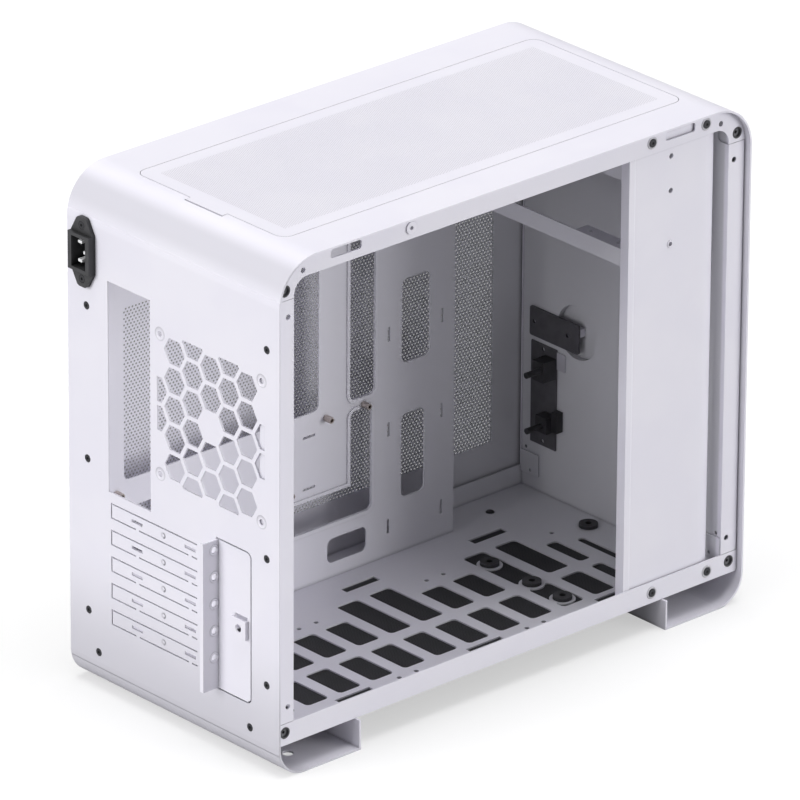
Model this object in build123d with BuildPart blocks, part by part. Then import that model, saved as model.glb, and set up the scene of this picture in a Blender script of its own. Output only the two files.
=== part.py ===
# Mini-tower computer case: a folded outer shell round a sheet steel frame.
# The left side (-X) is open, +Y is the rear, +Z is up and the origin is on the floor.
# All lengths are in millimetres.

import math
import os

from build123d import *

# Overall size of the shell
width = 220.0
depth = 440.0
height = 385.0
shell_t = 1.5
corner_r = 33.0
bottom_corner_r = 23.0

# Sheet thicknesses and fits
frame_t = 1.2
panel_t = 1.0
fit_gap = 0.3
plate_gap = 1.2
seam_gap = 0.4

# Frame: how far it sits inside the shell's edges, and its flanges
side_recess = 5.0
floor_z = 22.5
rail_height = 16.2
pan_corner_r = 1.6
post_flange = 16.0
post_leg = 16.5
post_bend_r = 1.6
top_flange = 15.5
corner_drop = 29.0
window_corner_r = 12.0

# Feet, folded from the shell's ends
foot_length = 75.4
foot_hole_r = 4.0
foot_hole_x = 83.0
foot_hole_inset = 31.8
filter_notch_depth = 1.8

# Rear reach of the slot bracket and front reach of the power button
bracket_reach = 14.0
button_proud = 0.4

front_y = button_proud - (depth + bracket_reach + button_proud) / 2
rear_y = front_y + depth
mid_y = front_y + depth / 2
left_x = -width / 2
frame_x = width / 2 - side_recess
inner_rear_y = rear_y - shell_t
inner_front_y = front_y + shell_t
inner_top_z = height - shell_t
floor_top_z = floor_z + frame_t
rail_top_z = floor_z + rail_height
top_rail_z = inner_top_z - top_flange
seam_z = inner_top_z - corner_drop
flat_half = depth / 2 - corner_r

# Rear fan grille of hexagonal cells
fan_x = -39.3
fan_z = 242.0
fan_hole_pitch = 105.0
fan_hole_r = 2.2
hex_pitch = 21.6
hex_bar = 3.0
hex_field = 111.4
hex_columns = 3

# Connector aperture for a standard board
io_x = 45.7
io_z = 236.7
io_width = 44.45
io_height = 158.75

# Expansion slots with break-out covers
slot_count = 5
slot_pitch = 20.32
slot_top_z = 143.8
slot_left_x = 65.7
slot_length = 90.7
slot_height = 12.0
slit = 1.2
slit_bridge = 3.4
bridge_inset_a = 26.2
bridge_inset_b = 81.5
slot_vent_length = 11.6
slot_vent_height = 2.4
slot_vent_inset_a = 27.5
slot_vent_inset_b = 83.3

# Slot bracket: a plate in the rear wall and a flange for the card screws
bracket_x = -46.0
bracket_width = 34.4
bracket_top_z = 161.2
bracket_height = 112.4
bracket_lip = 3.6
bracket_corner_r = 4.0
tongue_width = 20.0
tongue_inset = 6.0
tongue_reach = 3.0
bracket_hole_r = 2.4
bracket_hole_out = 3.9
bracket_hole_rise = 10.4
tab_width = 15.0
tab_height = 14.0
tab_proud = 3.0
tab_inset = 17.0
tab_drop = 51.0
tab_hole_r = 3.0

# Power inlet
inlet_x = 91.3
inlet_drop = 54.2
inlet_width = 22.0
inlet_waist = 29.0
inlet_tip_width = 9.0
inlet_tip_r = 4.0
inlet_height = 52.0
inlet_flange_t = 3.0
inlet_rim_height = 28.0
inlet_rim_proud = 3.2
inlet_ear_pitch = 40.0
inlet_body_depth = 21.0
inlet_body_width = 18.6
inlet_body_height = 26.4
cavity_width = 14.6
cavity_height = 23.0
cavity_depth = 16.5
pin_length = 13.0
pin_thick = 2.0
pin_wide = 4.0
pin_pitch = 14.0
earth_offset = 5.5

# Shell screws in the rear wall
screw_head_r = 2.7
cover_screw_head_r = 3.0
screw_head_t = 0.9
screw_shank_r = 1.3
screw_shank_length = 3.6
screw_hole_r = 1.6
screw_socket_r = 1.2
small_hole_sides = 8
rear_screws_right_x = 90.2
rear_screws_right_z = (59.3, 175.0, height - 94.6)
rear_screws_left_x = -97.1
rear_screws_left_z = (68.4, 163.6, height - 66.1)
rear_screws_low_x = 79.7
rear_screws_low_z = 30.2

# Top opening and the filter that lies in it
vent_width = 153.8
vent_length = 372.8
vent_corner_r = 9.0
vent_x = -0.7
vent_shift_y = 1.5
filter_gap = 0.5
filter_border = 12.5
filter_sheet_t = 0.6
pull_tab_width = 38.0
pull_tab_reach = 4.5
pull_tab_x = -1.0
deck_width = 94.0
deck_front_gap = 106.0
deck_rear_gap = 45.0
deck_corner_r = 6.0
deck_slot_width = 4.0
deck_slot_length = 84.0
deck_slot_pitch = 92.0

# Holes and fasteners of the side flanges
hook_slot_length = 28.0
hook_slot_inset = 50.5
hook_slot_drop = 11.0
hook_slot_height = 6.6
socket_r = 4.1
socket_cup_r = 3.2
socket_cup_depth = 2.0
socket_pin_r = 0.9
socket_proud = 0.3
socket_length = 4.5
socket_inset = 9.7
socket_top_drop = 23.3
socket_floor_rise = 32.0
small_hole_r = 2.1
top_hole_inset = 25.7
top_hole_drop = 12.3
post_hole_inset = 12.3
post_holes_z = (51.2, height - 42.9)
side_screws_low = ((31.1, 30.5), (84.8, 30.5))
side_screws_high = ((39.9, 8.7), (91.4, 8.7))
boss_r = 4.5
boss_hole_r = 1.5
boss_y = 96.7
boss_drop = 8.6
boss_t = 1.0

# Floor vents: windows in rows for three fans side by side
fan_module = 121.0
fan_modules_y = 12.8
window_length = 20.3
wide_left_x = 35.8
narrow_left_x = 14.5
column_gap_x = -22.9
column_width = 37.6
column_bar = 10.3
window_r = 3.5
window_shift_y = 8.1
end_window_length = 11.0
row_first = -5
row_last = 5
hook_slots_x = (52.4, -79.8)
floor_slot_width = 7.5
floor_slot_length = 32.0
floor_slot_pitch = 123.0
floor_fan_x = -26.5
floor_hole_r = 1.9
floor_hole_sides = 12
grommet_r = 7.0
grommet_t = 2.6
grommet_neck_r = 3.5
grommet_hole_r = 2.4
grommet_clear = 2.4
drive_holes = ((16.2, 128.6), (-27.1, 127.8), (-59.4, 128.2), (17.0, 31.6))
lone_hole = (81.5, 68.3)
lone_hole_r = 2.4
cross_slot_x = (-58.0, 6.0)
cross_slot_y = (47.2, 54.0)
cross_slot_r = 3.2
filter_right_x = 62.0
filter_left_x = -92.0
filter_length = 384.0
under_filter_t = 1.2
under_filter_border = 7.0
under_filter_corner_r = 5.0

# Motherboard tray
tray_x = 75.0
tray_front_gap = 110.5
tray_flange = 12.0
tray_corner_r = 33.0
cut_r = 5.0
rim_width = 2.6
rim_proud = 1.0
tray_cuts = {
    "cooler": (19.4, 200.0, 157.0, 288.0),
    "upper_cable": (-33.1, -9.2, 155.5, 290.0),
    "lower_cable": (-30.0, -9.7, 66.0, 147.0),
    "board_edge": (-30.0, 130.0, 66.0, 90.0),
    "small": (-26.0, 11.2, 34.6, 53.6),
    "front_upper": (-85.8, -59.0, 170.0, 234.8),
    "front_lower": (-81.2, -59.0, 65.4, 130.5),
    "rear_low": (142.0, 192.0, 98.0, 135.8),
}
rimmed_cuts = ("upper_cable", "lower_cable", "board_edge")
tie_slot_y = (-46.8, -97.6)
tie_slot_z = (46.8, 122.4, 196.2)
tie_slot_width = 2.2
tie_slot_height = 11.0
lance_y = 28.6
lance_z = (99.5, 139.4)
lance_length = 11.5
lance_width = 2.0

# Board standoffs: how far each stands from the rear wall, and how high
standoff_high_z = 305.3
standoff_middle_z = 149.4
standoff_low_z = 101.3
standoff_places = (
    (170.1, standoff_high_z),
    (242.5, standoff_high_z),
    (12.6, standoff_middle_z),
    (206.8, standoff_middle_z),
    (242.5, standoff_middle_z),
    (12.6, standoff_low_z),
    (170.1, standoff_low_z),
)
standoff_length = 7.0
standoff_flats = 4.2
standoff_hole_r = 1.3
standoff_hole_depth = 5.0

# Right side panel with its perforated field and dust filter
side_panel_depth = 3.0
side_panel_clear = 0.7
mesh_half = 178.0
mesh_low_z = 60.9
mesh_top_drop = 33.0
mesh_relief = 0.3
side_filter_t = 0.8
side_filter_border = 5.0

# Front chamber: cover, inner front wall and the power supply's beams
wall_gap = 17.0
wall_top_drop = 11.0
cover_rear_gap = 111.5
cover_bend_inset = 40.0
cover_return = 8.0
cover_hem = 5.0
cover_joggle = 0.8
cover_bend_r = 22.0
cover_bend_angle = 60.0
cover_hole_inset = 71.1
cover_hole_drops = (50.6, 24.6)
cover_hole_r = 2.0
cover_rivet_z = 294.0
beam_height = 13.0
beam_z = 285.6
beam_tab_depth = 12.5
beam_tab_x = ((-96.0, -48.0), (22.0, 70.0))
beam_hole_inset = 10.0
top_bar_drop = 36.4
top_bar_back = 2.5
dish_r = 22.0
dish_depth = 5.0

# Power button, its switch and the black plates on the inner front wall
button_x = 47.0
button_z = 161.0
button_r = 8.0
button_cap_t = 4.2
button_stem_r = 2.0
button_travel = 1.0
switch_size = 6.0
plate_a = (43.8, 95.0, 145.0, 167.6)
plate_a_t = 1.8
plate_a_corner_r = 1.6
plate_a_holes = ((90.3, 156.5), (55.8, 156.5))
plate_b = (67.2, 93.8, 61.4, 140.8)
plate_b_holes = ((81.0, 137.2), (81.0, 64.9))
plate_b_t = 1.2
port_z = (79.5, 120.5)
port_size = (13.0, 6.0)
port_board_x = 79.5
port_block_width = 11.5
port_blocks = ((9.3, 77.1, 89.5), (12.7, 118.4, 133.8))
plug_places = ((72.9, 82.2), (70.4, 127.8))
plug_r = 2.3
plug_length = 14.0
port_shell = (6.4, 6.0, 78.5, 94.0)
port_cover = (8.6, 1.0, 126.0, 139.3)
wall_notch_width = 11.0
wall_notch_drop = 31.0
wall_notch_r = 4.0
wall_notch_lap = 1.5
corner_tab_width = 18.5
corner_tab_low_z = 34.5
corner_tab_high_z = 51.5
corner_hole_r = 1.4
corner_tab_hole = (10.3, 37.7)
wall_corner_hole = (4.5, 54.4)

# Heights of what hangs from the top
inlet_z = height - inlet_drop
hook_slot_z = height - hook_slot_drop
top_hole_z = height - top_hole_drop
boss_z = height - boss_drop
mesh_high_z = height - mesh_top_drop
wall_top_z = height - wall_top_drop
wall_notch_z = height - wall_notch_drop
top_bar_z = height - top_bar_drop


def rear_plane():
    """The rear wall's outer face, looking forwards: local axes are X and Z."""
    return Plane.XZ.offset(-rear_y)


def front_plane():
    """The front wall's inner face, looking forwards."""
    return Plane.XZ.offset(-inner_front_y)


def rectangle_between(x0, x1, y0, y1, corner=0.0, mode=Mode.ADD):
    """A rectangle in the open sketch, given by its edges."""
    with Locations(((x0 + x1) / 2, (y0 + y1) / 2)):
        if corner > 0:
            RectangleRounded(abs(x1 - x0), abs(y1 - y0), corner, mode=mode)
        else:
            Rectangle(abs(x1 - x0), abs(y1 - y0), mode=mode)


def box_between(x0, x1, y0, y1, z0, z1, mode=Mode.ADD):
    """A block in the open part, given by its faces."""
    with Locations(((x0 + x1) / 2, (y0 + y1) / 2, (z0 + z1) / 2)):
        Box(x1 - x0, y1 - y0, z1 - z0, mode=mode)


def rear_screw_points():
    points = [(rear_screws_right_x, z) for z in rear_screws_right_z]
    points += [(rear_screws_left_x, z) for z in rear_screws_left_z]
    points += [(x, rear_screws_low_z) for x in (-rear_screws_low_x, rear_screws_low_x)]
    return points


def side_screw_points():
    """Screws of the chamber cover, as (y, z) on the left flanges."""
    points = [(front_y + out, z) for out, z in side_screws_low]
    points += [(front_y + out, height - drop) for out, drop in side_screws_high]
    return points


def socket_points():
    ends = (front_y + socket_inset, rear_y - socket_inset)
    return [(y, z) for y in ends for z in (socket_floor_rise, height - socket_top_drop)]


def grille_cells():
    """Centres of the grille's cells round the fan's axis; the middle one stays solid."""
    cells = []
    column_step = hex_pitch * math.sqrt(3) / 2
    reach = hex_field / 2
    for column in range(-hex_columns, hex_columns + 1):
        rise = hex_pitch / 2 if column % 2 else 0.0
        rows = 1 if abs(column) == hex_columns else 3
        for row in range(-rows, rows + 1):
            u = column * column_step
            v = row * hex_pitch + rise
            middle = column == 0 and row == 0
            if not middle and abs(v) < reach and (rows == 3 or abs(v) < hex_pitch):
                cells.append((fan_x + u, fan_z + v))
    return cells


def window_rows():
    """Floor windows as (left x, right x, low y, high y)."""
    row_pitch = fan_module / 4
    windows = []
    for row in range(row_first, row_last + 2):
        high = mid_y + window_shift_y + row * row_pitch
        low = high - (end_window_length if row == row_first else window_length)
        wide = row % 4 in (0, 1)
        left = wide_left_x if wide else narrow_left_x
        windows.append((left, column_gap_x, low, high))
        windows.append((column_gap_x - column_bar, column_gap_x - column_bar - column_width, low, high))
    return windows


def floor_hole_points():
    """Screw holes of the floor's fans."""
    half = fan_hole_pitch / 2
    points = []
    for module in (-1, 0, 1):
        middle = mid_y + fan_modules_y + module * fan_module
        for dy in (-half, half):
            for x in (floor_fan_x - half, floor_fan_x + half):
                points.append((x, middle + dy))
    return points


def side_outline(inset):
    """The case's outline from the side, drawn inset from the shell's outer face."""
    with BuildSketch() as outline:
        with Locations((mid_y, height / 2)):
            Rectangle(depth - 2 * inset, height - 2 * inset)
        fillet(outline.vertices().group_by(Axis.Y)[0], bottom_corner_r - inset)
        fillet(outline.vertices().group_by(Axis.Y)[-1], corner_r - inset)
    return outline.sketch


outer_outline = side_outline(0.0)
inner_outline = side_outline(shell_t)
panel_outline = side_outline(shell_t + side_panel_clear)

# Profile of the space inside the shell, from flange to flange
with BuildSketch(Plane.YZ.offset(-frame_x)) as shell_inside:
    add(inner_outline)

# Outer shell: rear foot, rear wall, top, front wall and front foot from one sheet
rear_foot_y = rear_y - foot_length
front_foot_y = front_y + foot_length
with BuildPart() as outer_shell:
    with BuildSketch(Plane.YZ.offset(left_x)):
        add(outer_outline)
        add(inner_outline, mode=Mode.SUBTRACT)
        rectangle_between(front_foot_y, rear_foot_y, -1, 2 * shell_t, mode=Mode.SUBTRACT)
        rectangle_between(rear_foot_y, rear_foot_y + shell_t, 0, floor_z)
        rectangle_between(front_foot_y - shell_t, front_foot_y, 0, floor_z)
    extrude(amount=width)
    # Notches in the feet's flanges let the dust filter pass
    box_between(filter_left_x - 1, filter_right_x + 1, front_foot_y - 2 * shell_t, rear_foot_y + 2 * shell_t,
                floor_z - filter_notch_depth, floor_z + 1, mode=Mode.SUBTRACT)
    with BuildSketch(Plane.XY):
        with Locations((-foot_hole_x, rear_y - foot_hole_inset), (foot_hole_x, rear_y - foot_hole_inset)):
            Circle(foot_hole_r)
    extrude(amount=2 * shell_t, mode=Mode.SUBTRACT)
    # Fan grille
    with BuildSketch(rear_plane()):
        with Locations(grille_cells()):
            RegularPolygon((hex_pitch - hex_bar) / 2, 6, major_radius=False)
        with Locations((fan_x, fan_z)):
            Rectangle(hex_field, hex_field, mode=Mode.INTERSECT)
    extrude(amount=shell_t, mode=Mode.SUBTRACT)
    # Connector aperture, inlet hole, bracket plate's opening and fan holes
    with BuildSketch(rear_plane()):
        with Locations((io_x, io_z)):
            Rectangle(io_width, io_height)
        with Locations((inlet_x, inlet_z)):
            Rectangle(inlet_body_width + 2 * fit_gap, inlet_body_height + 2 * fit_gap)
        with Locations((inlet_x, inlet_z - inlet_ear_pitch / 2), (inlet_x, inlet_z + inlet_ear_pitch / 2)):
            Circle(screw_hole_r)
        for corner, edge_x in ((bracket_corner_r + plate_gap, bracket_x - bracket_width - plate_gap),
                               (0.0, bracket_x - bracket_width / 2)):
            rectangle_between(bracket_x + plate_gap, edge_x, bracket_top_z - bracket_height - plate_gap,
                              bracket_top_z + plate_gap, corner)
        with Locations((fan_x, fan_z)):
            with GridLocations(fan_hole_pitch, fan_hole_pitch, 2, 2):
                Circle(fan_hole_r)
    extrude(amount=shell_t, mode=Mode.SUBTRACT)
    # Slits that outline the break-out slot covers
    with BuildSketch(rear_plane()):
        for slot in range(slot_count):
            z = slot_top_z - slot * slot_pitch
            right = slot_left_x - slot_length
            low = z - slot_height / 2
            rectangle_between(slot_left_x, right, z + slot_height / 2 - slit, z + slot_height / 2)
            rectangle_between(slot_left_x, slot_left_x - slit, low, z + slot_height / 2)
            first_bridge = slot_left_x - bridge_inset_a
            second_bridge = slot_left_x - bridge_inset_b
            rectangle_between(slot_left_x, first_bridge, low, low + slit)
            rectangle_between(first_bridge - slit_bridge, second_bridge, low, low + slit)
            rectangle_between(second_bridge - slit_bridge, right, low, low + slit)
            with Locations((slot_left_x - slot_vent_inset_a, z), (slot_left_x - slot_vent_inset_b, z)):
                Rectangle(slot_vent_length, slot_vent_height)
    extrude(amount=shell_t, mode=Mode.SUBTRACT)
    # Rear screws sit flush in counterbores
    with BuildSketch(rear_plane()):
        with Locations(rear_screw_points()):
            RegularPolygon(screw_hole_r, small_hole_sides)
    extrude(amount=2 * shell_t, mode=Mode.SUBTRACT)
    with BuildSketch(rear_plane()):
        with Locations(rear_screw_points()):
            Circle(screw_head_r + fit_gap)
    extrude(amount=screw_head_t, mode=Mode.SUBTRACT)
    # Top opening for the filter, with its finger recess at the rear
    with BuildSketch(Plane.XY.offset(height)):
        with Locations((vent_x, mid_y + vent_shift_y)):
            RectangleRounded(vent_width, vent_length, vent_corner_r)
        with Locations((pull_tab_x, mid_y + vent_shift_y + vent_length / 2)):
            Rectangle(pull_tab_width + 2 * filter_gap, 2 * pull_tab_reach + 2 * filter_gap)
    extrude(amount=-shell_t, mode=Mode.SUBTRACT)
    # Front wall: power button and two ports
    with BuildSketch(front_plane()):
        with Locations((button_x, button_z)):
            Circle(button_r + fit_gap)
        for z in port_z:
            with Locations((port_board_x, z)):
                Rectangle(port_size[1] + 2 * fit_gap, port_size[0] + 2 * fit_gap)
    extrude(amount=shell_t, mode=Mode.SUBTRACT)
outer_shell.part.label = "outer_shell"

# Top frame: a deck under the shell's top and a rounded flange down each side
deck_slots_y = [(k - 1) * deck_slot_pitch + mid_y + (deck_front_gap - deck_rear_gap) / 2 for k in range(3)]
with BuildPart() as top_frame:
    for side in (-1, 1):
        flange_x = side * frame_x if side < 0 else side * frame_x - frame_t
        with BuildSketch(Plane.YZ.offset(flange_x)):
            add(inner_outline)
            rectangle_between(inner_front_y + post_flange, inner_rear_y - post_flange,
                              -height, top_rail_z, window_corner_r, mode=Mode.SUBTRACT)
            rectangle_between(front_y, rear_y, 0, seam_z + seam_gap, mode=Mode.SUBTRACT)
            if side < 0:
                for y in (front_y + hook_slot_inset + hook_slot_length / 2,
                          rear_y - hook_slot_inset - hook_slot_length / 2):
                    with Locations((y, hook_slot_z + hook_slot_height / 2)):
                        RectangleRounded(hook_slot_length, hook_slot_height, 2, mode=Mode.SUBTRACT)
                with Locations((front_y + top_hole_inset, top_hole_z), (rear_y - top_hole_inset, top_hole_z)):
                    RegularPolygon(small_hole_r, floor_hole_sides, mode=Mode.SUBTRACT)
                with Locations([p for p in socket_points() if p[1] > seam_z]):
                    Circle(socket_r + fit_gap, mode=Mode.SUBTRACT)
                with Locations([p for p in side_screw_points() if p[1] > seam_z]):
                    RegularPolygon(screw_hole_r, small_hole_sides, mode=Mode.SUBTRACT)
                with Locations((mid_y + boss_y, boss_z)):
                    Circle(boss_hole_r, mode=Mode.SUBTRACT)
        extrude(amount=frame_t)
    with BuildSketch(Plane.XY.offset(inner_top_z - frame_t)):
        with Locations((0, mid_y)):
            Rectangle(2 * (frame_x - frame_t), 2 * flat_half)
        deck_front_y = front_y + deck_front_gap
        deck_rear_y = rear_y - deck_rear_gap
        rectangle_between(vent_x - deck_width / 2, vent_x + deck_width / 2, deck_front_y, deck_rear_y,
                          deck_corner_r, mode=Mode.SUBTRACT)
        for y in deck_slots_y:
            with Locations((vent_x - fan_hole_pitch / 2, y), (vent_x + fan_hole_pitch / 2, y)):
                Rectangle(deck_slot_width, deck_slot_length, mode=Mode.SUBTRACT)
    extrude(amount=frame_t)
    # Raised boss for the side panel's pin
    with BuildSketch(Plane.YZ.offset(-frame_x)):
        with Locations((mid_y + boss_y, boss_z)):
            Circle(boss_r)
            Circle(boss_hole_r, mode=Mode.SUBTRACT)
    extrude(amount=-boss_t)
top_frame.part.label = "top_frame"

# Floor pan: the bottom sheet and its upturned rails
pan_end_y = depth / 2 - shell_t - fit_gap
with BuildPart() as floor_pan:
    with BuildSketch(Plane.YZ.offset(-frame_x)) as pan_side:
        rectangle_between(mid_y - pan_end_y, mid_y + pan_end_y, floor_z, rail_top_z)
        fillet(pan_side.vertices().group_by(Axis.Y)[0], pan_corner_r)
    extrude(amount=2 * frame_x)
    offset(amount=-frame_t, openings=floor_pan.faces().sort_by(Axis.Z)[-1])
    with BuildSketch(Plane.XY.offset(floor_top_z)):
        for left, right, low, high in window_rows():
            rectangle_between(left, right, low, high, window_r)
        # Solid pads stay round the drive grommets
        with Locations([(x, front_y + y) for x, y in drive_holes[:3]]):
            Circle(grommet_r + grommet_clear, mode=Mode.SUBTRACT)
        with Locations([(x, front_y + y) for x, y in drive_holes]):
            RegularPolygon(grommet_neck_r + fit_gap, floor_hole_sides)
        for x in hook_slots_x:
            for step in (-1, 0, 1):
                with Locations((x, mid_y + step * floor_slot_pitch)):
                    Rectangle(floor_slot_width, floor_slot_length)
        rectangle_between(*cross_slot_x, front_y + cross_slot_y[0], front_y + cross_slot_y[1], cross_slot_r)
        with Locations(floor_hole_points()):
            RegularPolygon(floor_hole_r, floor_hole_sides)
        with Locations((lone_hole[0], front_y + lone_hole[1])):
            RegularPolygon(lone_hole_r, floor_hole_sides)
    extrude(amount=-frame_t, mode=Mode.SUBTRACT)
    # Tabs folded from the rails, which hold the inner front wall
    for x in (-(frame_x - frame_t), frame_x - frame_t - corner_tab_width):
        box_between(x, x + corner_tab_width, front_y + wall_gap, front_y + wall_gap + frame_t,
                    corner_tab_low_z, corner_tab_high_z)
    for x in (-frame_x, frame_x - frame_t):
        box_between(x, x + frame_t, front_y + wall_gap, front_y + wall_gap + frame_t,
                    corner_tab_low_z, rail_top_z)
    with BuildSketch(Plane.XZ.offset(-(front_y + wall_gap + frame_t))):
        for side in (-1, 1):
            with Locations((side * (frame_x - frame_t - corner_tab_hole[0]), corner_tab_hole[1])):
                RegularPolygon(corner_hole_r, small_hole_sides)
    extrude(amount=frame_t, mode=Mode.SUBTRACT)
    # Holes in the open side's rail
    with BuildSketch(Plane.YZ.offset(-frame_x)):
        with Locations([p for p in socket_points() if p[1] < rail_top_z]):
            Circle(socket_r + fit_gap)
        with Locations([p for p in side_screw_points() if p[1] < rail_top_z]):
            RegularPolygon(screw_hole_r, small_hole_sides)
    extrude(amount=frame_t, mode=Mode.SUBTRACT)
    with BuildSketch(Plane.XZ.offset(-(mid_y + pan_end_y))):
        with Locations((-rear_screws_low_x, rear_screws_low_z), (rear_screws_low_x, rear_screws_low_z)):
            RegularPolygon(screw_hole_r, small_hole_sides)
    extrude(amount=2 * frame_t, mode=Mode.SUBTRACT)
floor_pan.part.label = "floor_pan"


def corner_post(name, side, at_rear):
    """An L-shaped post: a flange beside the open side and a leg along the end wall."""
    end_wall_y = inner_rear_y if at_rear else inner_front_y
    inward = -1 if at_rear else 1
    outer_x = side * frame_x
    points = [
        (outer_x, end_wall_y + inward * post_flange),
        (outer_x, end_wall_y),
        (outer_x - side * post_leg, end_wall_y),
    ]
    turn = Side.RIGHT if side * inward > 0 else Side.LEFT
    low = rail_top_z + seam_gap
    with BuildPart() as post:
        with BuildSketch(Plane.XY.offset(low)):
            with BuildLine():
                FilletPolyline(*points, radius=post_bend_r)
                offset(amount=frame_t, side=turn)
            make_face()
        extrude(amount=seam_z - low)
        extrude(shell_inside.sketch, amount=2 * frame_x, mode=Mode.INTERSECT)
        with BuildSketch(Plane.YZ.offset(outer_x)):
            end_y = rear_y if at_rear else front_y
            with Locations([(end_y + inward * post_hole_inset, z) for z in post_holes_z]):
                RegularPolygon(small_hole_r, floor_hole_sides)
        extrude(amount=-side * frame_t, mode=Mode.SUBTRACT)
        if at_rear:
            with BuildSketch(Plane.XZ.offset(-inner_rear_y)):
                with Locations(rear_screw_points()):
                    RegularPolygon(screw_hole_r, small_hole_sides)
            extrude(amount=frame_t, mode=Mode.SUBTRACT)
            if side > 0:
                box_between(outer_x - post_leg - 1, outer_x - frame_t - plate_gap,
                            end_wall_y - 2 * frame_t, end_wall_y + 1,
                            inlet_z - inlet_height / 2, seam_z + 1, mode=Mode.SUBTRACT)
    post.part.label = name
    return post


rear_left_post = corner_post("rear_left_post", -1, True)
rear_right_post = corner_post("rear_right_post", 1, True)
front_left_post = corner_post("front_left_post", -1, False)
front_right_post = corner_post("front_right_post", 1, False)

standoff_spots_yz = [(rear_y - inset, z) for inset, z in standoff_places]

# Motherboard tray: an upright sheet with cable cut-outs, on the floor and under the deck
tray_front_y = front_y + tray_front_gap
tray_rear_y = mid_y + pan_end_y - frame_t - fit_gap
tray_low_z = floor_top_z
tray_high_z = inner_top_z - frame_t
with BuildPart() as motherboard_tray:
    with BuildSketch(Plane.YZ.offset(tray_x)) as tray_face:
        rectangle_between(tray_front_y, tray_rear_y, tray_low_z, tray_high_z)
        fillet(tray_face.vertices().group_by(Axis.Y)[-1].sort_by(Axis.X)[-1], tray_corner_r)
        fillet(tray_face.vertices().group_by(Axis.Y)[0].sort_by(Axis.X)[-1], pan_corner_r)
    extrude(amount=frame_t)
    # Flanges turned away from the board, at the floor, the deck and the front edge
    box_between(tray_x, tray_x + tray_flange, tray_front_y, tray_rear_y - pan_corner_r, tray_low_z,
                tray_low_z + frame_t)
    box_between(tray_x, tray_x + tray_flange, tray_front_y, mid_y + flat_half - 3, tray_high_z - frame_t, tray_high_z)
    box_between(tray_x, tray_x + tray_flange, tray_front_y, tray_front_y + frame_t, tray_low_z, tray_high_z)
    # Raised rims beside the cable cut-outs
    with BuildSketch(Plane.YZ.offset(tray_x)):
        for name in rimmed_cuts:
            y0, y1, z0, z1 = tray_cuts[name]
            rectangle_between(mid_y + y0 - rim_width, mid_y + y1 + rim_width, z0 - rim_width, z1 + rim_width,
                              cut_r + rim_width)
        with Locations(standoff_spots_yz):
            Circle(standoff_flats, mode=Mode.SUBTRACT)
    extrude(amount=-rim_proud)
    with BuildSketch(Plane.YZ.offset(tray_x - rim_proud)):
        for y0, y1, z0, z1 in tray_cuts.values():
            rectangle_between(mid_y + y0, mid_y + y1, z0, z1, cut_r)
        for y in tie_slot_y:
            for z in tie_slot_z:
                with Locations((mid_y + y, z)):
                    Rectangle(tie_slot_width, tie_slot_height)
        for z in lance_z:
            with Locations((mid_y + lance_y, z)):
                Rectangle(lance_length, lance_width)
    extrude(amount=frame_t + rim_proud, mode=Mode.SUBTRACT)
motherboard_tray.part.label = "motherboard_tray"

# Hexagonal brass standoffs for the board
with BuildPart() as standoffs:
    with BuildSketch(Plane.YZ.offset(tray_x)):
        with Locations(standoff_spots_yz):
            RegularPolygon(standoff_flats / 2, 6, major_radius=False)
    extrude(amount=-standoff_length)
    with BuildSketch(Plane.YZ.offset(tray_x - standoff_length)):
        with Locations(standoff_spots_yz):
            Circle(standoff_hole_r)
    extrude(amount=standoff_hole_depth, mode=Mode.SUBTRACT)
standoffs.part.label = "board_standoffs"

# Right side panel: a shallow pan whose rim rests on the frame
with BuildPart() as right_side_panel:
    with BuildSketch(Plane.YZ.offset(frame_x)):
        add(panel_outline)
        rectangle_between(front_y, rear_y, -1, floor_z + side_panel_clear, mode=Mode.SUBTRACT)
    extrude(amount=side_panel_depth)
    offset(amount=-panel_t, openings=right_side_panel.faces().sort_by(Axis.X)[0])
    box_between(frame_x + side_panel_depth - mesh_relief, frame_x + side_panel_depth, mid_y - mesh_half,
                mid_y + mesh_half, mesh_low_z, mesh_high_z, mode=Mode.SUBTRACT)
right_side_panel.part.label = "right_side_panel"

# Framed dust filter on the outside of the perforated field
with BuildPart() as side_filter:
    filter_x = frame_x + side_panel_depth - mesh_relief
    box_between(filter_x, filter_x + side_filter_t, mid_y - mesh_half, mid_y + mesh_half, mesh_low_z, mesh_high_z)
    inset = side_filter_border
    box_between(filter_x + side_filter_t / 2, filter_x + side_filter_t, mid_y - mesh_half + inset,
                mid_y + mesh_half - inset, mesh_low_z + inset, mesh_high_z - inset, mode=Mode.SUBTRACT)
side_filter.part.label = "side_dust_filter"

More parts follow.
